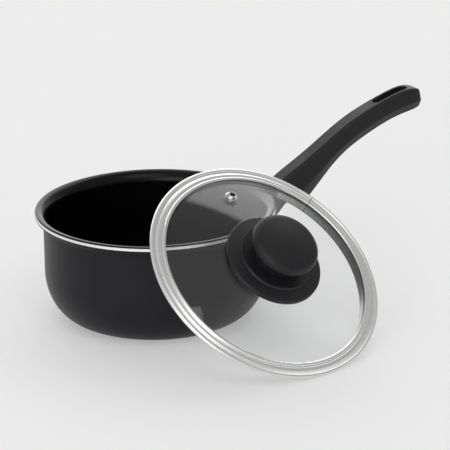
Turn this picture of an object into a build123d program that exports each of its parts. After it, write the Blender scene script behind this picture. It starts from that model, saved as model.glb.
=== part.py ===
"""Saucepan with a glass lid that leans on its rim. The pan stands on z = 0, its handle along +X."""
import os
from math import cos, radians, sin, sqrt

from build123d import *

# --- pan ---
pan_radius = 80.0          # outside of the straight wall
pan_height = 79.5
wall = 2.4
base_thickness = 3.0
rim_overhang = 5.9         # how far the rolled rim reaches past the wall
edge_depth = 3.8           # height of the rim's thick outer edge
edge_round = 1.3
corner_reach = 25.5        # the rounded base corner, measured along the base
corner_height = 35.0       # and up the wall

# --- handle ---
nose_gap = 27.1            # from the pan's rim to the middle of the mouth
nose_drop = 6.7            # the mouth's middle, below the rim
handle_reach = 109.4       # from the mouth to the far end, along X
handle_rise = 52.1         # from the mouth to the far end, upwards
nose_slope = 38.0
mouth_slope = 50.0         # the open end is cut at a slant
nose_depth = 28.2
nose_width = 24.0
grip_depth = 17.0
grip_width = 20.0
socket_roof_gap = 0.8
mouth_wall = 2.8           # the nose is hollowed to this wall at its open end
mouth_depth = 5.0
slot_length = 30.0
slot_width = 8.0
slot_inset = 21.0          # slot's centre, back from the far end
slot_slope = 13.0

# --- bracket and its fasteners ---
plate_thickness = 2.0
plate_half_angle = 14.0
plate_depth = 22.0
plate_drop = 10.5          # plate's upper edge, below the rim
sleeve_width = 12.0
sleeve_depth = 13.0
sleeve_wall = 1.6
sleeve_grip = 17.0         # how far the sleeve reaches into the nose
rivet_radius = 2.4
rivet_head_radius = 4.4
rivet_head_height = 1.6
rivet_angle = 10.0
screw_radius = 2.4
screw_head_radius = 4.2
screw_head_height = 2.2
screw_inset = 10.5         # screw's distance into the nose
seat_thickness = 2.4       # handle wall under the sleeve, at the screw
lock_washer_thickness = 0.8
nut_width = 7.6
nut_thickness = 3.4

# --- lid ---
lid_radius = 87.6          # to the outside of the bead
bead_radius = 1.5
bead_zone = 3.9            # widths of the band's three rings, from the outside in
middle_zone = 4.2
lip_zone = 2.8
sheet = 0.6
skirt_inset = 10.8         # from the outside of the bead in to the skirt
skirt_depth = 8.2
glass_thickness = 3.6
glass_edge_height = 1.1    # upper face at the glass's edge, above the bead's middle plane
dome_curve = 243.0         # radius of the glass's upper face
seal_width = 0.5
vent_inset = 17.1          # from the band's lip in to the middle of the vent
vent_turn = -5.7           # from the uphill direction
vent_bore = 2.1
vent_barrel = 2.8
vent_flange = 4.9
vent_height = 2.6
vent_washer_radius = 4.6
vent_washer_thickness = 0.8

# --- knob ---
disc_radius = 35.6
disc_edge = 3.0
disc_crown = 1.4           # rise of the disc from its edge to its collar
collar_radius = 27.0
collar_height = 1.6
neck_radius = 17.5
head_radius = 24.6
head_lift = 14.0           # widest ring above the collar
head_dome = 6.8            # top above the widest ring
insert_radius = 4.0
insert_length = 12.0
knob_screw_radius = 2.5
knob_screw_head_radius = 4.6
knob_screw_head_height = 3.0
knob_washer_radius = 9.0
knob_washer_thickness = 1.2
knob_seal_radius = 10.0
knob_seal_thickness = 1.0
knob_gasket_radius = 12.0
knob_gasket_thickness = 1.0

# --- clearances and the lean ---
fit_gap = 0.2              # between loose pieces of one assembly
body_gap = 0.4             # least gap between the leaning lid and the rim, along the lid
lean_tilt = 40.0           # the lid's axis, from upright
lean_direction = -78.9     # the way the lid's top faces, from +X
lean_offset = 8.7          # the lid's centre, to one side of the lean

rim_radius = pan_radius + rim_overhang
bore_radius = pan_radius - wall
roll_inner = rim_overhang + wall
rivet_height = pan_height - plate_drop - plate_depth / 2
lip_radius = lid_radius - bead_zone - middle_zone - lip_zone
glass_radius = lip_radius + lip_zone - 0.2
skirt_radius = lid_radius - skirt_inset
vent_distance = lip_radius - vent_inset
dome_height = glass_edge_height + dome_curve - sqrt(dome_curve ** 2 - glass_radius ** 2)


def save(piece, name):
    piece.part.label = name
    export_step(piece.part, f"parts/{name}.step")


def pan_shell():
    roll_low = pan_height - roll_inner
    edge_low = pan_height - edge_depth
    edge_middle = rim_radius - edge_round
    corner = (pan_radius - corner_reach, corner_height)
    with BuildPart() as shell:
        with BuildSketch(Plane.XZ):
            with BuildLine():
                Line((0, 0), (corner[0], 0))
                EllipticalCenterArc(corner, corner_reach, corner_height, 270, arc_size=90)
                Line((pan_radius, corner_height), (pan_radius, edge_low - rim_overhang))
                RadiusArc((pan_radius, edge_low - rim_overhang), (rim_radius, edge_low), rim_overhang)
                Line((rim_radius, edge_low), (rim_radius, pan_height - edge_round))
                CenterArc((edge_middle, pan_height - edge_round), edge_round, 0, 90)
                EllipticalCenterArc((edge_middle, roll_low), edge_middle - bore_radius, roll_inner,
                                    90, arc_size=90)
                Line((bore_radius, roll_low), (bore_radius, corner_height))
                EllipticalCenterArc(corner, corner_reach - wall, corner_height - base_thickness,
                                    0, arc_size=-90)
                Line((corner[0], base_thickness), (0, base_thickness))
                Line((0, base_thickness), (0, 0))
            make_face()
        revolve(axis=Axis.Z)
        for turn in (-rivet_angle, rivet_angle):
            with BuildSketch(rivet_plane(turn)):
                Circle(rivet_radius)
            extrude(amount=2 * wall, both=True, mode=Mode.SUBTRACT)
    save(shell, "pan_shell")


def rivet_plane(turn):
    """Plane on the outside of the wall at a rivet, looking outwards."""
    outwards = Vector(cos(radians(turn)), sin(radians(turn)), 0)
    return Plane(outwards * pan_radius + Vector(0, 0, rivet_height),
                 x_dir=(-outwards.Y, outwards.X, 0), z_dir=outwards)


def bracket_rivets():
    with BuildPart() as rivets:
        for turn in (-rivet_angle, rivet_angle):
            middle = rivet_plane(turn)
            with BuildSketch(middle.offset(-wall - rivet_head_height)):
                Circle(rivet_radius)
            extrude(amount=wall + plate_thickness + 2 * rivet_head_height)
            with BuildSketch(middle.offset(-wall)):
                Circle(rivet_head_radius)
            extrude(amount=-rivet_head_height, taper=40)
            with BuildSketch(middle.offset(plate_thickness)):
                Circle(rivet_head_radius)
            extrude(amount=rivet_head_height, taper=40)
    save(rivets, "bracket_rivets")


# The nose plane looks along the grip's first stretch, its y axis upwards.
nose = Plane((rim_radius + nose_gap, 0, pan_height - nose_drop), x_dir=(0, 1, 0),
             z_dir=(cos(radians(nose_slope)), 0, sin(radians(nose_slope))))
sleeve_floor = -sleeve_depth / 2
screw_seat = sleeve_floor - fit_gap - seat_thickness


def station(reach, rise, slope):
    """Section plane of the grip at a share of its reach and of its rise."""
    return Plane(nose.origin + Vector(reach * handle_reach, 0, rise * handle_rise),
                 x_dir=(0, 1, 0), z_dir=(cos(radians(slope)), 0, sin(radians(slope))))


def screw_plane(lift):
    """Plane across the handle screw at a height over the nose's middle, looking up the screw."""
    return Plane(nose.origin + nose.z_dir * screw_inset + nose.y_dir * lift,
                 x_dir=(0, 1, 0), z_dir=nose.y_dir)


def grip_section(plane, swell, share=1.0, inset=0.0):
    """Outline of the grip, widest a little under its middle; a swell of 1 is the full nose."""
    depth = share * (grip_depth + (nose_depth - grip_depth) * swell)
    width = share * (grip_width + (nose_width - grip_width) * swell)
    with BuildSketch(plane) as section:
        with BuildLine():
            Polyline((-width * 0.5, -depth * 0.08), (-width * 0.34, depth * 0.5),
                     (width * 0.34, depth * 0.5), (width * 0.5, -depth * 0.08),
                     (width * 0.3, -depth * 0.5), (-width * 0.3, -depth * 0.5), close=True)
        make_face()
        fillet(section.vertices(), depth * 0.15)
        if inset:
            offset(amount=-inset, mode=Mode.REPLACE)
    return section.sketch


def handle():
    # share of the reach, share of the rise, slope, swell, share of the full section
    stations = (
        (0.000, 0.000, mouth_slope, 1.00, 1),
        (0.110, 0.170, 39, 0.58, 1),
        (0.240, 0.375, 36, 0.17, 1),
        (0.410, 0.615, 30, 0, 1),
        (0.620, 0.823, 21, 0, 1),
        (0.800, 0.950, 13, 0, 1),
        (0.925, 1.000, 5, 0, 1),
        (1.000, 0.998, 0, 0, 0.78),
    )
    with BuildPart() as grip:
        loft(sections=[grip_section(station(reach, rise, slope), swell, share)
                       for reach, rise, slope, swell, share in stations])
        extrude(to_extrude=grip_section(station(0, 0, mouth_slope), 1, inset=mouth_wall),
                amount=mouth_depth, mode=Mode.SUBTRACT)
        with BuildSketch(nose):
            with Locations((0, socket_roof_gap / 2)):
                Rectangle(sleeve_width + 2 * fit_gap, sleeve_depth + 2 * fit_gap + socket_roof_gap)
        extrude(amount=sleeve_grip + fit_gap, mode=Mode.SUBTRACT)
        with BuildSketch(screw_plane(screw_seat)):
            Circle(screw_head_radius + fit_gap)
        extrude(amount=-nose_depth / 2, mode=Mode.SUBTRACT)
        with BuildSketch(screw_plane(screw_seat)):
            Circle(screw_radius + fit_gap)
        extrude(amount=2 * seat_thickness, mode=Mode.SUBTRACT)
        slot_centre = nose.origin + Vector(handle_reach - slot_inset, 0, handle_rise * 0.95)
        with BuildSketch(Plane(slot_centre,
                               x_dir=(cos(radians(slot_slope)), 0, sin(radians(slot_slope))),
                               z_dir=(-sin(radians(slot_slope)), 0, cos(radians(slot_slope))))):
            SlotOverall(slot_length, slot_width)
        extrude(amount=2 * grip_depth, both=True, mode=Mode.SUBTRACT)
    save(grip, "handle")


def handle_bracket():
    plate_top = pan_height - plate_drop
    plate_low = plate_top - plate_depth
    root = pan_radius + plate_thickness / 2

    def beside_nose(depth, lift):
        point = nose.origin + nose.z_dir * depth + nose.y_dir * lift
        return (point.X, point.Z)

    with BuildPart() as bracket:
        with BuildSketch(Plane.XZ) as side:
            with BuildLine():
                Polyline((root, plate_top - 1.5), (rim_radius + 3, plate_top),
                         beside_nose(0, sleeve_depth / 2), beside_nose(sleeve_grip, sleeve_depth / 2),
                         beside_nose(sleeve_grip, sleeve_floor), beside_nose(0, sleeve_floor),
                         beside_nose(-12, sleeve_floor + 4), beside_nose(-23.5, sleeve_floor + 2.5),
                         (root, plate_low + 1.5), close=True)
            make_face()
            fillet(side.vertices().sort_by(Axis.X)[2:-2], 3.5)
        extrude(amount=sleeve_width / 2, both=True)
        tip = bracket.faces().sort_by(Axis.X)[-1]
        offset(amount=-sleeve_wall, openings=tip)
        with BuildSketch(Plane.XY.offset(plate_low)):
            Circle(pan_radius + plate_thickness)
            Circle(pan_radius, mode=Mode.SUBTRACT)
            with BuildLine():
                far = 2 * pan_radius
                half = far * sin(radians(plate_half_angle))
                Polyline((0, 0), (far * cos(radians(plate_half_angle)), half),
                         (far * cos(radians(plate_half_angle)), -half), close=True)
            make_face(mode=Mode.INTERSECT)
        extrude(amount=plate_depth)
        for turn in (-rivet_angle, rivet_angle):
            with BuildSketch(rivet_plane(turn)):
                Circle(rivet_radius)
            extrude(amount=2 * plate_thickness, mode=Mode.SUBTRACT)
        with BuildSketch(screw_plane(sleeve_floor - 1)):
            Circle(screw_radius + fit_gap)
        extrude(amount=sleeve_wall + 2, mode=Mode.SUBTRACT)
    save(bracket, "handle_bracket")


def handle_fasteners():
    nut_floor = sleeve_floor + sleeve_wall
    with BuildPart() as screw:
        with BuildSketch(screw_plane(screw_seat - lock_washer_thickness)):
            Circle(screw_head_radius)
        extrude(amount=-screw_head_height)
        chamfer(screw.edges().sort_by(Axis(nose.origin, nose.y_dir))[0], screw_head_height / 4)
        with BuildSketch(screw_plane(screw_seat - lock_washer_thickness)):
            Circle(screw_radius)
        extrude(amount=nut_floor + nut_thickness + 1 - screw_seat + lock_washer_thickness)
        slot = screw_plane(screw_seat - lock_washer_thickness - screw_head_height)
        with BuildSketch(slot):
            Rectangle(2.4 * screw_head_radius, 1)
            Rectangle(1, 2.4 * screw_head_radius)
        extrude(amount=screw_head_height / 2, mode=Mode.SUBTRACT)
    save(screw, "handle_screw")
    with BuildPart() as washer:
        with BuildSketch(screw_plane(screw_seat)):
            Circle(screw_head_radius)
            Circle(screw_radius + fit_gap, mode=Mode.SUBTRACT)
        extrude(amount=-lock_washer_thickness)
    save(washer, "handle_lock_washer")
    with BuildPart() as nut:
        with BuildSketch(screw_plane(nut_floor)):
            Rectangle(nut_width, nut_width)
            Circle(screw_radius, mode=Mode.SUBTRACT)
        extrude(amount=nut_thickness)
    save(nut, "handle_nut")


def dome(radius, lift=0.0):
    """Height of the glass's upper face, or of a face parallel to it, at a radius."""
    curve = dome_curve + lift
    return dome_height + lift - curve + sqrt(curve ** 2 - radius ** 2)


def underside(radius):
    """Height of the lid's lowest face over a rim point at this radius."""
    if radius > skirt_radius + body_gap:
        return -bead_radius
    if radius > skirt_radius - sheet - body_gap:
        return -skirt_depth
    return dome(radius, -glass_thickness)


lean_out = Vector(cos(radians(lean_direction)), sin(radians(lean_direction)), 0)
lean_side = Vector(-lean_out.Y, lean_out.X, 0)
lid_axis = lean_out * sin(radians(lean_tilt)) + Vector(0, 0, cos(radians(lean_tilt)))


def lid_centre(reach):
    """Centre of the bead when the lid stands on the floor, its middle this far out."""
    height = (lid_radius - bead_radius) * sin(radians(lean_tilt)) + bead_radius
    return lean_out * reach + lean_side * lean_offset + Vector(0, 0, height)


def lid_clears(reach):
    """True if no point of the rim is nearer the lid's underside than the body gap."""
    centre = tuple(lid_centre(reach))
    axis = tuple(lid_axis)
    for degree in range(360):
        point = (rim_radius * cos(radians(degree)), rim_radius * sin(radians(degree)), pan_height)
        apart = [a - b for a, b in zip(point, centre)]
        lift = sum(a * b for a, b in zip(apart, axis))
        radius = sqrt(max(sum(a * a for a in apart) - lift * lift, 0))
        if radius < lid_radius + body_gap and lift > underside(radius) - body_gap:
            return False
    return True


def lean_reach():
    """Least distance at which the lid, brought in from outside, leans on the rim."""
    reach = rim_radius + lid_radius
    while lid_clears(reach - 0.1):
        reach -= 0.1
    return reach


# The lid's x axis points uphill and its z axis through the knob.
lid = Plane(lid_centre(lean_reach()), x_dir=lid_axis.cross(lean_side), z_dir=lid_axis)
lid_section = Plane(lid.origin, x_dir=lid.x_dir, z_dir=lid.y_dir * -1)
lid_line = Axis(lid.origin, lid.z_dir)
glass_low = dome(glass_radius, -glass_thickness)


def tube(piece, inner, outer, low, high):
    """Ring or disc about the lid's axis."""
    with BuildPart() as ring:
        with BuildSketch(lid.offset(low)):
            Circle(outer)
            if inner:
                Circle(inner, mode=Mode.SUBTRACT)
        extrude(amount=high - low)
    save(ring, piece)


def dome_arc(start, end, lift=0.0):
    """Arc parallel to the glass's upper face between two radii."""
    middle = (start + end) / 2
    return ThreePointArc((start, dome(start, lift)), (middle, dome(middle, lift)), (end, dome(end, lift)))


def vent_plane():
    """Plane on the glass at the vent, looking out of it."""
    turn = radians(vent_turn)
    outwards = lid.x_dir * cos(turn) + lid.y_dir * sin(turn)
    along = outwards * vent_distance + lid.z_dir * (dome(vent_distance) - dome_height + dome_curve)
    surface = lid.origin + outwards * vent_distance + lid.z_dir * dome(vent_distance)
    return Plane(surface, x_dir=along.cross(outwards), z_dir=along)


def lid_glass():
    with BuildPart() as glass:
        with BuildSketch(lid_section):
            with BuildLine():
                dome_arc(0, glass_radius)
                Line((glass_radius, dome(glass_radius)), (glass_radius, glass_low))
                dome_arc(glass_radius, 0, -glass_thickness)
                Line((0, dome(0, -glass_thickness)), (0, dome_height))
            make_face()
        revolve(axis=lid_line)
        with BuildSketch(lid):
            Circle(insert_radius)
        extrude(amount=2 * dome_height, mode=Mode.SUBTRACT)
        with BuildSketch(vent_plane()):
            Circle(vent_barrel)
        extrude(amount=2 * glass_thickness, both=True, mode=Mode.SUBTRACT)
    save(glass, "lid_glass")


def rim_band():
    bead = lid_radius - bead_radius
    groove = lid_radius - bead_zone
    crease = groove - middle_zone
    web = glass_radius + seal_width
    shelf = glass_low - sheet
    with BuildPart() as band:
        with BuildSketch(lid_section):
            with BuildLine():
                ThreePointArc((bead - 1.2, 0.9), (lid_radius, 0), (bead - 1.2, -0.9))
                Polyline((bead - 1.2, -0.9), (web + sheet, -0.9), (web + sheet, shelf),
                         (skirt_radius, shelf), (skirt_radius, -skirt_depth),
                         (skirt_radius - sheet, -skirt_depth), (skirt_radius - sheet, glass_low),
                         (web, glass_low), (web, dome(glass_radius)), (glass_radius, dome(glass_radius)))
                dome_arc(glass_radius, lip_radius)
                Line((lip_radius, dome(lip_radius)), (lip_radius, dome(lip_radius) + sheet))
                ThreePointArc((lip_radius, dome(lip_radius) + sheet),
                              ((lip_radius + crease) / 2, dome(lip_radius) + 1.1),
                              (crease, dome(crease) + sheet))
                ThreePointArc((crease, dome(crease) + sheet),
                              ((crease + groove) / 2, dome(crease) + 0.9), (groove, 0.7))
                Line((groove, 0.7), (bead - 1.2, 0.9))
            make_face()
        revolve(axis=lid_line)
    save(band, "rim_band")


def vent():
    eyelet_plane = vent_plane()
    section = Plane(eyelet_plane.origin, x_dir=eyelet_plane.x_dir, z_dir=eyelet_plane.y_dir * -1)
    underneath = -glass_thickness - vent_washer_thickness
    with BuildPart() as eyelet:
        with BuildSketch(section):
            with BuildLine():
                Polyline((vent_bore, vent_height), (vent_bore + 0.9, vent_height), (vent_flange - 0.9, 0.9),
                         (vent_flange, 0.7), (vent_flange, 0.1), (vent_barrel, 0.1),
                         (vent_barrel, underneath), (vent_barrel + 1.1, underneath),
                         (vent_barrel + 1.1, underneath - sheet), (vent_bore, underneath - sheet),
                         close=True)
            make_face()
        revolve(axis=Axis(eyelet_plane.origin, eyelet_plane.z_dir))
    save(eyelet, "vent_eyelet")
    with BuildPart() as washer:
        with BuildSketch(eyelet_plane.offset(-glass_thickness - 0.05)):
            Circle(vent_washer_radius)
            Circle(vent_barrel, mode=Mode.SUBTRACT)
        extrude(amount=0.05 - vent_washer_thickness)
    save(washer, "vent_washer")


disc_low = dome(disc_radius, knob_gasket_thickness)
collar_base = disc_low + disc_edge + disc_crown
collar_top = collar_base + collar_height


def knob_disc():
    with BuildPart() as disc:
        with BuildSketch(lid_section):
            bore = knob_screw_radius + fit_gap
            with BuildLine():
                dome_arc(bore, disc_radius, knob_gasket_thickness)
                Polyline((disc_radius, disc_low), (disc_radius, disc_low + disc_edge - 0.8),
                         (disc_radius - 0.8, disc_low + disc_edge), (collar_radius, collar_base),
                         (collar_radius - 0.8, collar_top), (bore, collar_top),
                         (bore, dome(bore, knob_gasket_thickness)))
            make_face()
        revolve(axis=lid_line)
    save(disc, "knob_disc")


def knob():
    widest = collar_top + head_lift
    top = widest + head_dome
    with BuildPart() as head:
        with BuildSketch(lid_section):
            with BuildLine():
                Line((0, collar_top + insert_length), (insert_radius, collar_top + insert_length))
                Line((insert_radius, collar_top + insert_length), (insert_radius, collar_top))
                Line((insert_radius, collar_top), (neck_radius, collar_top))
                Spline((neck_radius, collar_top), (neck_radius + 1.5, collar_top + head_lift * 0.5),
                       (head_radius, widest), tangents=((0, 1), (0, 1)))
                Spline((head_radius, widest), (head_radius * 0.72, widest + head_dome * 0.78), (0, top),
                       tangents=((0, 1), (-1, 0)))
                Line((0, top), (0, collar_top + insert_length))
            make_face()
        revolve(axis=lid_line)
    save(head, "knob")


def knob_screw():
    head_top = dome(0, -glass_thickness) - knob_seal_thickness - knob_washer_thickness
    with BuildPart() as screw:
        with BuildSketch(lid.offset(head_top - knob_screw_head_height)):
            Circle(knob_screw_head_radius)
        extrude(amount=knob_screw_head_height)
        fillet(screw.edges().sort_by(lid_line)[0], knob_screw_head_height / 2)
        with BuildSketch(lid.offset(head_top)):
            Circle(knob_screw_radius)
        extrude(amount=collar_top + insert_length - 2 - head_top)
        with BuildSketch(lid.offset(head_top - knob_screw_head_height)):
            Rectangle(knob_screw_head_radius, 1)
            Rectangle(1, knob_screw_head_radius)
        extrude(amount=knob_screw_head_height / 2, mode=Mode.SUBTRACT)
    save(screw, "knob_screw")


def knob_soft_rings():
    bore = knob_screw_radius + fit_gap
    low = dome(0, -glass_thickness) - knob_seal_thickness
    with BuildPart() as seal:
        with BuildSketch(lid_section):
            with BuildLine():
                dome_arc(bore, knob_seal_radius, -glass_thickness)
                Polyline((knob_seal_radius, dome(knob_seal_radius, -glass_thickness)),
                         (knob_seal_radius, low), (bore, low), (bore, dome(bore, -glass_thickness)))
            make_face()
        revolve(axis=lid_line)
    save(seal, "knob_seal")
    with BuildPart() as gasket:
        with BuildSketch(lid_section):
            with BuildLine():
                dome_arc(bore, knob_gasket_radius)
                Line((knob_gasket_radius, dome(knob_gasket_radius)),
                     (knob_gasket_radius, dome(knob_gasket_radius, knob_gasket_thickness)))
                dome_arc(knob_gasket_radius, bore, knob_gasket_thickness)
                Line((bore, dome(bore, knob_gasket_thickness)), (bore, dome(bore)))
            make_face()
        revolve(axis=lid_line)
    save(gasket, "knob_gasket")
    tube("knob_washer", bore, knob_washer_radius, low - knob_washer_thickness, low)


os.makedirs("parts", exist_ok=True)
pan_shell()
bracket_rivets()
handle()
handle_bracket()
handle_fasteners()
lid_glass()
rim_band()
tube("rim_seal", glass_radius, glass_radius + seal_width, glass_low, dome(glass_radius))
vent()
knob_disc()
knob()
tube("knob_insert", knob_screw_radius, insert_radius, collar_top, collar_top + insert_length)
knob_screw()
knob_soft_rings()
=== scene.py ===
# %% [markdown]
# # A saucepan with a glass lid leaning on it
# The imported model gives every piece at its real size and place, in metres. This lesson lights it,
# looks at it through a long lens, gives each piece the finish that it has in a kitchen, and models
# again the pieces whose shape needs more care than a machine drawing has.

from math import asin, cos, pi, radians, sin

import bpy
from mathutils import Matrix, Vector


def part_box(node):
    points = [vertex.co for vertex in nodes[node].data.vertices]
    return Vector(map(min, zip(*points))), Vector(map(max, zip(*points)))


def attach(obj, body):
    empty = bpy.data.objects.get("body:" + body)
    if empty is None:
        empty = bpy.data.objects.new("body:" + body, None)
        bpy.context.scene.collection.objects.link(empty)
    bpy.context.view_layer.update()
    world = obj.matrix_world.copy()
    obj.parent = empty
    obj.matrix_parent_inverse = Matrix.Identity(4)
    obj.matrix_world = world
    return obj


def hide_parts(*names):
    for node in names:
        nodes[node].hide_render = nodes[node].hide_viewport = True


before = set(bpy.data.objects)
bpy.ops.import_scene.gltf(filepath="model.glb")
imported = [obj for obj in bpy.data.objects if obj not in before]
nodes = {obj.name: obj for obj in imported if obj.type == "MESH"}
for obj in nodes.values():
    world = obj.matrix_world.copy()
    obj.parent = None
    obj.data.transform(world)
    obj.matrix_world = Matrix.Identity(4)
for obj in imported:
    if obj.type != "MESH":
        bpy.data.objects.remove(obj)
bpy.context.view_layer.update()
scene = bpy.context.scene
print("nodes:", ", ".join(sorted(nodes)))

# %% [markdown]
# ## Camera
# A long lens far away keeps the ellipses of the rim and the lid nearly parallel, as in catalogue
# pictures. The camera looks down a little, from the side on which the lid leans.

# %% Place the camera
LENS_DISTANCE = 2.6
LENS_LENGTH = 274.328
LENS_TILT = radians(19.6)
LENS_TURN = radians(-30)
LENS_ROLL = radians(-0.8)
LOOK_AT = Vector((0.10982, 0.09002, 0.01762))

turn = Matrix.Rotation(LENS_TURN, 3, "Z") @ Matrix.Rotation(pi / 2 - LENS_TILT, 3, "X")
lens = bpy.data.cameras.new("camera")
lens.sensor_width = 36
lens.lens = LENS_LENGTH
lens.clip_end = 50
camera = bpy.data.objects.new("camera", lens)
camera.matrix_world = Matrix.Translation(LOOK_AT + turn.col[2] * LENS_DISTANCE) @ (
    turn @ Matrix.Rotation(LENS_ROLL, 3, "Z")).to_4x4()
scene.collection.objects.link(camera)
scene.camera = camera

# %% [markdown]
# ## Building materials from nodes
# A material is a small graph. The class Graph keeps it short: plug links or sets one socket, add makes
# a node, and maths, ramp, blend, mix, noise, around and bump each make one kind. Finish is a graph for
# a material. A value that is the same all over goes straight on the shader's socket.

# %% Node helpers
class Graph:
    """A node tree to which nodes are added one by one."""

    def __init__(self, tree):
        self.tree = tree

    def plug(self, socket, value):
        if isinstance(value, bpy.types.NodeSocket):
            self.tree.links.new(value, socket)
        elif socket.type == "RGBA":
            socket.default_value = (*value, 1)
        else:
            socket.default_value = value

    def set(self, node, **sockets):
        for name, value in sockets.items():
            self.plug(node.inputs[name.replace("_", " ")], value)

    def add(self, kind, settings=None, **sockets):
        node = self.tree.nodes.new("ShaderNode" + kind)
        for name, value in (settings or {}).items():
            setattr(node, name, value)
        self.set(node, **sockets)
        return node

    def maths(self, operation, first, second=0.0):
        node = self.add("Math", {"operation": operation})
        self.plug(node.inputs[0], first)
        self.plug(node.inputs[1], second)
        return node.outputs[0]

    def ramp(self, value, low, high, start=0.0, end=1.0):
        """Turn a value between low and high smoothly into one between start and end."""
        node = self.add("MapRange", {"interpolation_type": "SMOOTHSTEP"}, Value=value)
        for socket, number in zip(node.inputs[1:5], (low, high, start, end)):
            self.plug(socket, number)
        return node.outputs["Result"]

    def blend(self, factor, first, second):
        """Mix two colours."""
        node = self.add("Mix", {"data_type": "RGBA"}, Factor=factor)
        self.plug(node.inputs[6], first)
        self.plug(node.inputs[7], second)
        return node.outputs[2]

    def mix(self, factor, first, second):
        """Mix two numbers."""
        node = self.add("Mix", {"data_type": "FLOAT"}, Factor=factor)
        self.plug(node.inputs[2], first)
        self.plug(node.inputs[3], second)
        return node.outputs[0]

    def hypotenuse(self, first, second):
        """Square root of the sum of two squares."""
        squares = [self.maths("MULTIPLY", side, side) for side in (first, second)]
        return self.maths("SQRT", self.maths("ADD", *squares))

    def around(self, place):
        """Distance from the z axis and height, for coordinates that are centred on a turned piece."""
        parts = self.add("SeparateXYZ", Vector=place)
        flat = self.add("CombineXYZ", X=parts.outputs["X"], Y=parts.outputs["Y"])
        length = self.add("VectorMath", {"operation": "LENGTH"}, Vector=flat.outputs[0])
        return length.outputs["Value"], parts.outputs["Z"]

    def bump(self, height, distance, strength=1.0, under=None):
        node = self.add("Bump", Height=height, Distance=distance, Strength=strength)
        if under:
            self.plug(node.inputs["Normal"], under)
        return node.outputs["Normal"]


class Finish(Graph):
    """A material, with its shader and object coordinates at hand."""

    def __init__(self, name, **sockets):
        self.material = bpy.data.materials.new(name)
        self.material.use_nodes = True
        super().__init__(self.material.node_tree)
        self.shader = self.tree.nodes["Principled BSDF"]
        self.set(self.shader, **sockets)
        self.where = self.add("TexCoord").outputs["Object"]

    def noise(self, scale, detail=3.0, roughness=0.5, where=None):
        node = self.add("TexNoise", Scale=scale, Detail=detail, Roughness=roughness,
                        Vector=where or self.where)
        return node.outputs["Fac"]

    def give(self, *names):
        for name in names:
            nodes[name].data.materials.clear()
            nodes[name].data.materials.append(self.material)
        print(self.material.name, "on", ", ".join(names))


# %% [markdown]
# ## Floor and light
# A pale floor reaches far behind the object, so no horizon shows. It glows a little, like a light
# table, which keeps the shadows pale. The room is a white tent with one dark gap in it: the gap is
# what the glass mirrors towards the camera, so the dark pan can be seen through it. A bright screen
# behind the gap shows as a pale patch at the top of the dome, and a window low on the left adds soft
# light from that side.

# %% Floor
floor_finish = Finish("floor_paper", Roughness=0.85, Emission_Color=(1.0, 1.0, 1.0),
                      Emission_Strength=0.33)
floor_finish.set(floor_finish.shader, Base_Color=floor_finish.blend(
    floor_finish.noise(3.0), (0.560, 0.560, 0.558), (0.572, 0.572, 0.570)))
bpy.ops.object.select_all(action="DESELECT")
bpy.ops.mesh.primitive_plane_add(size=24, location=(0, 0, 0))
floor = bpy.context.object
floor.name = "floor"
floor.data.materials.append(floor_finish.material)

# %% Room
TENT = 0.60
SCREEN = 1.9
GAP = 0.42
GAP_TOWARDS = Vector((0.60, -0.25, 0.75)).normalized()
SCREEN_EDGE = Vector((0.854, 1.0, 0.0))
SCREEN_SIDE = Vector((1.0, 0.0, 0.0))
WINDOW = 2.4
WINDOW_TOWARDS = Vector((-0.80, -0.58, 0.15)).normalized()
world = bpy.data.worlds.new("studio")
scene.world = world
world.use_nodes = True
room = Graph(world.node_tree)
way = room.add("TexCoord").outputs["Generated"]


def along(direction):
    node = room.add("VectorMath", {"operation": "DOT_PRODUCT"}, Vector=way)
    room.plug(node.inputs[1], direction)
    return node.outputs["Value"]


gap = room.ramp(along(GAP_TOWARDS), cos(radians(52)), cos(radians(38)), TENT, GAP)
screen = room.ramp(along(SCREEN_SIDE), 0.68, 0.78, SCREEN, gap)
brightness = room.ramp(along(SCREEN_EDGE), 0.63, 0.69, gap, screen)
brightness = room.ramp(along(WINDOW_TOWARDS), cos(radians(34)), cos(radians(8)), brightness, WINDOW)
room.set(room.tree.nodes["Background"], Strength=brightness, Color=(1, 1, 1))
scene.view_settings.view_transform = "Standard"

# %% Key lamp
KEY_PLACE = Vector((-0.85, -3.4, 4.5))
KEY_AIM = Vector((0, 0, 0.05))
lamp = bpy.data.lights.new("key", "AREA")
lamp.shape = "RECTANGLE"
lamp.size = 3.4
lamp.size_y = 3.0
lamp.energy = 34
key = bpy.data.objects.new("key", lamp)
key.location = KEY_PLACE
key.rotation_euler = (KEY_PLACE - KEY_AIM).to_track_quat("Z", "Y").to_euler()
scene.collection.objects.link(key)

# %% [markdown]
# ## Where the lid is
# The lid's axis leans 40 degrees from upright. A tilted ring's box has the ring's own centre as its
# centre, so the seal gives the lid's centre. A Mapping node with these numbers turns object
# coordinates into the lid's own: x uphill, z out through the knob.

# %% The lid's own coordinates
LEAN_TILT = radians(40)
LEAN_DIRECTION = radians(-78.9)

low, high = (Vector(corner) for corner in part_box("rim_seal"))
lean_out = Vector((cos(LEAN_DIRECTION), sin(LEAN_DIRECTION), 0))
lid_axis = lean_out * sin(LEAN_TILT) + Vector((0, 0, cos(LEAN_TILT)))
lid_side = Vector((-lean_out.y, lean_out.x, 0))
uphill = lid_axis.cross(lid_side)
lid_turn = Matrix((uphill, lid_axis.cross(uphill), lid_axis)).transposed()
lid_place = Matrix.Translation((low + high) / 2) @ lid_turn.to_4x4()
print("lid centre", [round(number, 4) for number in lid_place.translation])


def lid_mapping(finish):
    back = lid_place.inverted()
    node = finish.add("Mapping", Vector=finish.where, Location=back.translation,
                      Rotation=back.to_euler())
    return node.outputs["Vector"]


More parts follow.
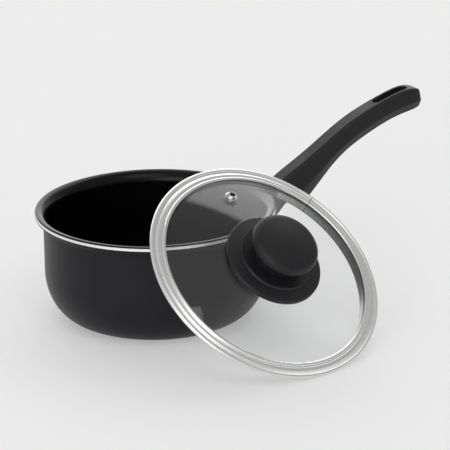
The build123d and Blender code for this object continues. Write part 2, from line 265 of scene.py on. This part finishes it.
# %% [markdown]
# ## Pan
# The shell is pressed aluminium with a dark satin coating. Its rim was trimmed after coating, so
# the cut edge is bare and bright. The inside is smoother and darker, and its floor keeps the fine
# rings of the lathe. The underside is turned bare, which gives the hob a clean ring to sit on.

# %% Pan coating
RIM_RADIUS, _, PAN_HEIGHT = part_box("pan_shell")[1]
BASE_RADIUS = 0.0545
SKIN_WIDTH = 0.0243
SKIN_TOP = 0.035
SKIN_DEPTH = 0.0335
FLARE_DROP = 0.009
FLARE_SKIN = 0.0068
RING_PITCH = 0.0006
EDGE_LOW = 0.0029
EDGE_HIGH = 0.0013
BARE = (0.86, 0.86, 0.87)

pan = Finish("pan_coating", Specular_IOR_Level=0.20)
radius, height = pan.around(pan.where)
grain = pan.noise(2600, 2.0)
cloud = pan.noise(26, 4.0)
# The skin halfway through the sheet divides inside from outside: an ellipse at the base and a circle
# at the rim.
out = pan.maths("MAXIMUM", pan.maths("SUBTRACT", radius, BASE_RADIUS), 0.0)
down = pan.maths("MAXIMUM", pan.maths("SUBTRACT", SKIN_TOP, height), 0.0)
out = pan.maths("DIVIDE", out, SKIN_WIDTH)
down = pan.maths("DIVIDE", down, SKIN_DEPTH)
bowl = pan.ramp(pan.maths("POWER", pan.hypotenuse(out, down), 2.0), 1.01, 0.99)
out = pan.maths("SUBTRACT", radius, RIM_RADIUS)
down = pan.maths("SUBTRACT", height, PAN_HEIGHT - FLARE_DROP)
flare = pan.ramp(pan.hypotenuse(out, down), FLARE_SKIN - 0.0002, FLARE_SKIN + 0.0002)
inside = pan.maths("MAXIMUM", bowl, pan.maths("MULTIPLY", flare, pan.ramp(down, -0.0005, 0.0005)))
turned = pan.maths("SINE", pan.maths("MULTIPLY", radius, 2 * pi / RING_PITCH))
rings = pan.maths("MULTIPLY", turned, pan.ramp(height, 0.005, 0.0032))
speck = pan.ramp(pan.add("TexVoronoi", Vector=pan.where, Scale=900).outputs["Distance"], 0.16, 0.08)
outer_colour = pan.blend(cloud, (0.0085, 0.0080, 0.0102), (0.0108, 0.0102, 0.0128))
inner_colour = pan.blend(speck, (0.0016, 0.0016, 0.0018), (0.006, 0.006, 0.0065))
edge = pan.maths("MULTIPLY", pan.ramp(radius, RIM_RADIUS - 0.0004, RIM_RADIUS - 0.0002),
                 pan.ramp(height, PAN_HEIGHT - EDGE_LOW - 0.0002, PAN_HEIGHT - EDGE_LOW))
edge = pan.maths("MULTIPLY", edge, pan.ramp(height, PAN_HEIGHT - EDGE_HIGH + 0.0004,
                                            PAN_HEIGHT - EDGE_HIGH))
base = pan.maths("MULTIPLY", pan.ramp(height, 0.00025, 0.0001),
                 pan.ramp(radius, BASE_RADIUS - 0.001, BASE_RADIUS - 0.002))
bare = pan.maths("MAXIMUM", edge, base)
surface = pan.bump(grain, 0.00002, 0.5)
surface = pan.bump(rings, 0.00003, 0.6, surface)
pan.set(pan.shader, Metallic=bare, Roughness=pan.mix(bare, pan.mix(inside, 0.40, 0.24), 0.42),
        Base_Color=pan.blend(bare, pan.blend(inside, outer_colour, inner_colour), BARE), Normal=surface)
pan.give("pan_shell")

# %% [markdown]
# ## Handle and bracket
# The handle is moulded phenolic, a hard black resin that is satin with a slight mottle from the
# mould. The bracket behind it is pressed steel under black paint, held by two aluminium rivets.

# %% Moulded black
def moulded(name, dark, pale, roughness, parting=False):
    finish = Finish(name, Specular_IOR_Level=0.32)
    mottle = finish.noise(55, 5.0, 0.6)
    pores = finish.noise(3500, 2.0)
    skin = finish.bump(pores, 0.00002, 0.4)
    if parting:
        across = finish.add("SeparateXYZ", Vector=finish.where).outputs["Y"]
        seam = finish.ramp(finish.maths("ABSOLUTE", across), 0.00025, 0.00005)
        skin = finish.bump(seam, 0.00012, 0.7, skin)
    finish.set(finish.shader, Base_Color=finish.blend(mottle, dark, pale),
               Roughness=finish.ramp(mottle, 0.25, 0.75, roughness - 0.04, roughness + 0.06),
               Normal=skin)
    return finish


handle_finish = moulded("handle_black", (0.0075, 0.0072, 0.0088), (0.0115, 0.0110, 0.0130), 0.45,
                        parting=True)
handle_finish.give("handle")
knob_finish = moulded("knob_black", (0.0085, 0.0082, 0.0098), (0.0125, 0.0120, 0.0140), 0.40)
knob_finish.give("knob", "knob_disc")

# %% Painted bracket
paint = Finish("bracket_steel", Specular_IOR_Level=0.5)
orange_peel = paint.noise(900, 2.0)
paint.set(paint.shader,
          Base_Color=paint.blend(paint.noise(120), (0.014, 0.014, 0.0145), (0.022, 0.022, 0.023)),
          Roughness=paint.ramp(orange_peel, 0.3, 0.7, 0.28, 0.36),
          Normal=paint.bump(orange_peel, 0.00003, 0.5))
paint.give("handle_bracket")

# %% [markdown]
# ## Metal
# Sheet metal that was spun or turned keeps fine lines around its axis. They come from noise read
# along the radius, so that each line runs all the way round, with a second, coarser noise that
# breaks up the shine.

# %% Turned metal
def metal(name, colour, roughness, place=None, lines=0.0, grain=400):
    finish = Finish(name, Metallic=1.0)
    where = place(finish) if place else finish.where
    smear = finish.noise(grain, 4.0, 0.6, where)
    dull = tuple(0.86 * part for part in colour)
    normal = finish.bump(smear, 0.00001, 0.3)
    if lines:
        radius, height = finish.around(where)
        track = finish.add("CombineXYZ", X=radius, Y=height)
        smear = finish.noise(lines, 2.0, 0.7, track.outputs[0])
        normal = finish.bump(smear, 0.000012, 0.6, normal)
    finish.colour = finish.blend(smear, dull, colour)
    finish.set(finish.shader, Base_Color=finish.colour, Normal=normal,
               Roughness=finish.ramp(smear, 0.2, 0.8, roughness * 0.7, roughness * 1.4))
    return finish


band_finish = metal("band_steel", (0.90, 0.90, 0.89), 0.26, lid_mapping, 2400)
band_finish.give("rim_band")
vent_finish = metal("vent_steel", (0.62, 0.62, 0.62), 0.24, grain=900)
vent_finish.give("vent_eyelet")
metal("fastener_steel", (0.66, 0.66, 0.68), 0.28, grain=1500).give(
    "handle_screw", "handle_lock_washer", "handle_nut", "vent_washer", "knob_screw", "knob_washer")
rivet_finish = metal("aluminium_rivet", (0.80, 0.80, 0.81), 0.30, grain=1200)
rivet_finish.give("bracket_rivets")
metal("insert_brass", (0.78, 0.58, 0.26), 0.25, lid_mapping, 3000).give("knob_insert")

# %% [markdown]
# The rivets were set before the pan was coated, so their inner heads are as dark as the inside.
# The band is a strip bent into a ring, and its two ends meet in a thin joint.

# %% Coated heads and the band's joint
across = rivet_finish.add("SeparateXYZ", Vector=rivet_finish.where).outputs["X"]
coated = rivet_finish.ramp(across, 0.0795, 0.0790)
rivet_finish.set(rivet_finish.shader, Metallic=rivet_finish.ramp(across, 0.0790, 0.0795),
                 Base_Color=rivet_finish.blend(coated, rivet_finish.colour, (0.003, 0.003, 0.0032)))

JOINT_ANGLE = radians(-60)
parts = band_finish.add("SeparateXYZ", Vector=lid_mapping(band_finish)).outputs
aside = band_finish.maths("SUBTRACT", band_finish.maths("MULTIPLY", parts["Y"], cos(JOINT_ANGLE)),
                          band_finish.maths("MULTIPLY", parts["X"], sin(JOINT_ANGLE)))
joint = band_finish.ramp(band_finish.maths("ABSOLUTE", aside), 0.00035, 0.00010)
joint = band_finish.maths("MULTIPLY", joint, band_finish.ramp(parts["X"], 0.010, 0.020))
band_finish.set(band_finish.shader,
                Base_Color=band_finish.blend(joint, band_finish.colour, (0.08, 0.08, 0.08)))

# %% [markdown]
# ## Turned pieces
# Rivets and the vent's eyelet are formed by punches, so their edges are round. Each is built from a
# circle that is extruded and scaled ring by ring along its axis, and then closed.

# %% Ring by ring
def turned_piece(name, rings, place, closed_ring):
    bpy.ops.object.select_all(action="DESELECT")
    radius, height = rings[0]
    bpy.ops.mesh.primitive_circle_add(vertices=64, radius=radius)
    piece = bpy.context.object
    piece.name = piece.data.name = name
    bpy.ops.object.mode_set(mode="EDIT")
    bpy.ops.mesh.select_all(action="SELECT")
    bpy.ops.transform.translate(value=(0, 0, height))
    for next_radius, next_height in rings[1:]:
        bpy.ops.mesh.extrude_region_move(
            TRANSFORM_OT_translate={"value": (0, 0, next_height - height)})
        bpy.ops.transform.resize(value=(next_radius / radius, next_radius / radius, 1),
                                 center_override=(0, 0, next_height))
        radius, height = next_radius, next_height
    bpy.ops.mesh.select_all(action="DESELECT")
    bpy.ops.mesh.select_mode(type="EDGE")
    bpy.ops.mesh.select_non_manifold()
    if closed_ring:
        bpy.ops.mesh.bridge_edge_loops()
    else:
        bpy.ops.mesh.fill_holes(sides=0)
    bpy.ops.mesh.select_all(action="SELECT")
    bpy.ops.mesh.normals_make_consistent(inside=False)
    bpy.ops.object.mode_set(mode="OBJECT")
    piece.matrix_world = place
    bpy.ops.object.transform_apply(location=True, rotation=True, scale=True)
    bpy.ops.object.shade_smooth_by_angle(angle=radians(35))
    return piece


# %% Rivets
WALL_OUTSIDE = 0.080
RIVET_HEIGHT = 0.058
rivet_rings = [(0.0004, -0.0039), (0.0016, -0.0038), (0.0028, -0.0035), (0.0038, -0.0030),
               (0.0043, -0.0026), (0.0044, -0.0024), (0.0024, -0.0024), (0.0024, 0.0020),
               (0.0044, 0.0020), (0.0043, 0.0023), (0.0038, 0.0027), (0.0028, 0.0032),
               (0.0016, 0.0035), (0.0004, 0.0036)]
rivets = []
for angle in (-10, 10):
    around_pan = Matrix.Rotation(radians(angle), 4, "Z")
    outwards = Matrix.Translation((WALL_OUTSIDE, 0, RIVET_HEIGHT)) @ Matrix.Rotation(pi / 2, 4, "Y")
    rivets.append(turned_piece("rivets", rivet_rings, around_pan @ outwards, False))
rivets[0].select_set(True)
bpy.ops.object.join()
rivets = bpy.context.object
rivets.data.materials.append(rivet_finish.material)
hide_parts("bracket_rivets")
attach(rivets, "pan")
print("rivets:", len(rivets.data.polygons), "faces")

# %% Vent eyelet
VENT_TURN = radians(-5.7)
VENT_DISTANCE = 0.0596
DOME_CURVE = 0.243
WASHER_DEPTH = 0.004025
low, high = (Vector(corner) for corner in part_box("vent_washer"))
vent_lean = asin(VENT_DISTANCE / DOME_CURVE)
vent_out = uphill * cos(VENT_TURN) + lid_turn.col[1] * sin(VENT_TURN)
vent_axis = vent_out * sin(vent_lean) + lid_axis * cos(vent_lean)
vent_place = Matrix.Translation((low + high) / 2 + vent_axis * WASHER_DEPTH) @ (
    vent_axis.to_track_quat("Z", "Y").to_matrix().to_4x4())
eyelet_rings = [(0.0021, -0.0050), (0.0039, -0.0050), (0.0039, -0.0044), (0.0028, -0.0044),
                (0.0028, 0.0001), (0.0049, 0.0001), (0.0049, 0.0004), (0.0047, 0.0006),
                (0.0043, 0.0007), (0.0038, 0.0009), (0.0036, 0.0013), (0.0034, 0.0019),
                (0.0031, 0.0023), (0.0028, 0.0025), (0.0025, 0.0025), (0.0022, 0.0023),
                (0.0021, 0.0019)]
eyelet = turned_piece("eyelet", eyelet_rings, vent_place, True)
eyelet.data.materials.append(vent_finish.material)
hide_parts("vent_eyelet")
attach(eyelet, "lid")
print("eyelet:", len(eyelet.data.polygons), "faces")

# %% [markdown]
# ## Rubber
# The seal under the band and the gaskets at the knob are dark silicone rubber: dull, with a faint
# bloom on the surface.

# %% Rubber
rubber = Finish("seal_rubber", Specular_IOR_Level=0.35)
bloom = rubber.noise(300, 4.0, 0.6)
rubber.set(rubber.shader, Base_Color=rubber.blend(bloom, (0.020, 0.020, 0.020), (0.034, 0.034, 0.033)),
           Roughness=rubber.ramp(bloom, 0.2, 0.8, 0.6, 0.8), Normal=rubber.bump(bloom, 0.00003, 0.4))
rubber.give("rim_seal", "knob_seal", "knob_gasket")

# %% [markdown]
# ## Glass
# Tempered glass is clear with a trace of green. A renderer that follows light through glass gives a
# black shadow unless it is told otherwise, so shadow rays meet a transparent surface instead: the
# light path switches between the two. Very faint waves bend the reflections as in pressed glass.

# %% Glass
glass = Finish("lid_glass", Base_Color=(0.975, 0.984, 0.980), Transmission_Weight=1.0, IOR=1.46)
waves = glass.noise(38, 1.0, 0.4)
smears = glass.noise(90, 4.0, 0.6)
glass.set(glass.shader, Roughness=glass.ramp(smears, 0.3, 0.9, 0.0, 0.02),
          Normal=glass.bump(waves, 0.00005, 0.25))
clear = glass.add("BsdfTransparent", Color=(0.965, 0.975, 0.970))
switch = glass.add("MixShader", Fac=glass.add("LightPath").outputs["Is Shadow Ray"])
glass.tree.links.new(glass.shader.outputs[0], switch.inputs[1])
glass.tree.links.new(clear.outputs[0], switch.inputs[2])
glass.tree.links.new(switch.outputs[0], glass.tree.nodes["Material Output"].inputs["Surface"])
glass.give("lid_glass")
